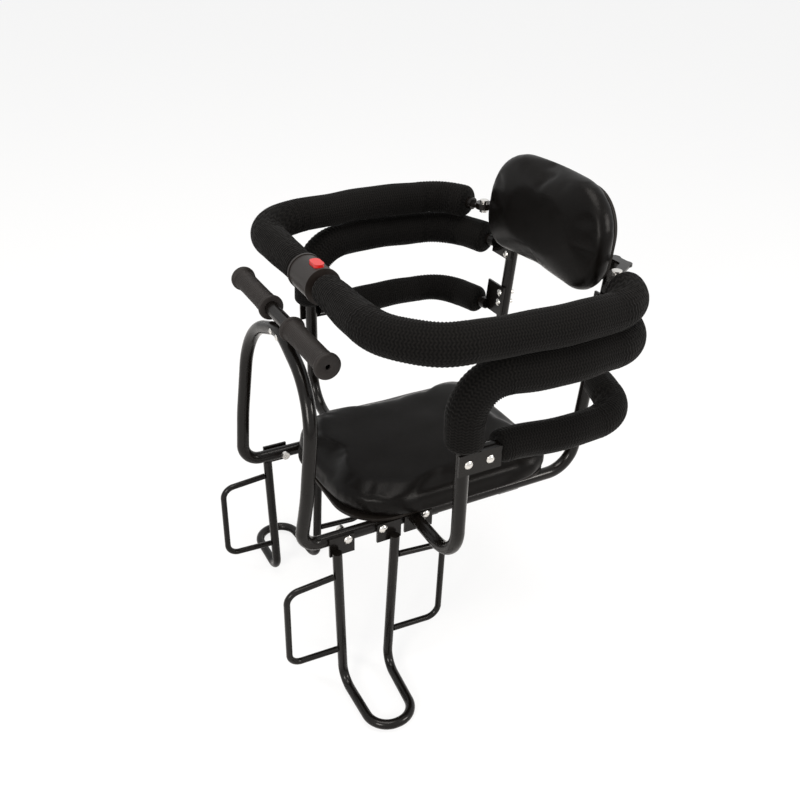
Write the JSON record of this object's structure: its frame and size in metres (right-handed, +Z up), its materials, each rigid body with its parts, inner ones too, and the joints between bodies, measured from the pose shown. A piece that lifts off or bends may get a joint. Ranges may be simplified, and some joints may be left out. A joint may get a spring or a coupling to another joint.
{
  "type": "rear child bike seat",
  "caption": "Tubular rear child seat for a bicycle rack, with padded seat and back, a padded ring that opens, a front handle and foot rests.",
  "frame": {"origin": "centre of the four rack bolt holes, on the underside of the two cross bars", "axes": "+Z up, -Y the way the child faces, +X the child's left"},
  "size_m": [0.4814, 0.4472, 0.5992],
  "materials": {
    "cushion_cover": "satin black imitation leather over foam",
    "board": "plain plywood",
    "foam_sleeve": "ribbed black mesh over foam",
    "grip_rubber": "matt dark grey rubber",
    "connector_plastic": "satin dark brown-grey plastic",
    "red_plastic": "satin red plastic",
    "zinc_steel": "bright zinc plate",
    "black_tube": "glossy black powder coat on steel tube"
  },
  "bodies": {
    "frame": {"seat_cushion": "cushion_cover", "seat_board": "board", "back_cushion": "cushion_cover", "back_board": "board", "side_frame_left": "black_tube", "side_frame_right": "black_tube", "front_arch": "black_tube", "handle_bar": "black_tube", "grip_left": "grip_rubber", "grip_right": "grip_rubber", "handle_screws": "zinc_steel", "cross_bar_front": "black_tube", "cross_bar_rear": "black_tube", "leg_frame_left": "black_tube", "leg_frame_right": "black_tube", "leg_guard_front_left": "black_tube", "leg_guard_front_right": "black_tube", "leg_guard_rear_left": "black_tube", "leg_guard_rear_right": "black_tube", "rail_bolts": "zinc_steel", "rail_nuts": "zinc_steel", "arm_tube_left": "black_tube", "arm_tube_right": "black_tube", "arm_pad_left": "foam_sleeve", "arm_pad_right": "foam_sleeve", "arm_bracket_left": "black_tube", "arm_bracket_right": "black_tube", "bracket_rivets": "zinc_steel", "base_plate_left": "black_tube", "base_plate_right": "black_tube", "base_screws": "zinc_steel", "hip_bar_left": "black_tube", "hip_bar_right": "black_tube", "hip_pad_left": "foam_sleeve", "hip_pad_right": "foam_sleeve", "upright_bolts": "zinc_steel", "hinge_plate_left": "black_tube", "hinge_plate_right": "black_tube", "hinge_bolts": "zinc_steel"},
    "ring_left": {"ring_tube_left": "black_tube", "ring_pad_left": "foam_sleeve", "ring_connector": "connector_plastic"},
    "ring_right": {"ring_tube_right": "black_tube", "ring_pad_right": "foam_sleeve", "ring_tongue": "zinc_steel"},
    "button": {"red_button": "red_plastic"}
  },
  "joints": [
    {"name": "ring_left_hinge", "type": "hinge", "parent": "frame", "child": "ring_left", "pos_m": [0.14, 0.149, 0.2973], "axis": [0, 0, 1], "range_deg": [0, 60]},
    {"name": "ring_right_hinge", "type": "hinge", "parent": "frame", "child": "ring_right", "pos_m": [-0.14, 0.149, 0.2973], "axis": [0, 0, -1], "range_deg": [0, 60]},
    {"name": "button_press", "type": "slide", "parent": "ring_left", "child": "button", "axis": [0, 0, -1], "range_m": [0, 0.003], "stiffness_N_per_m": 400}
  ]
}
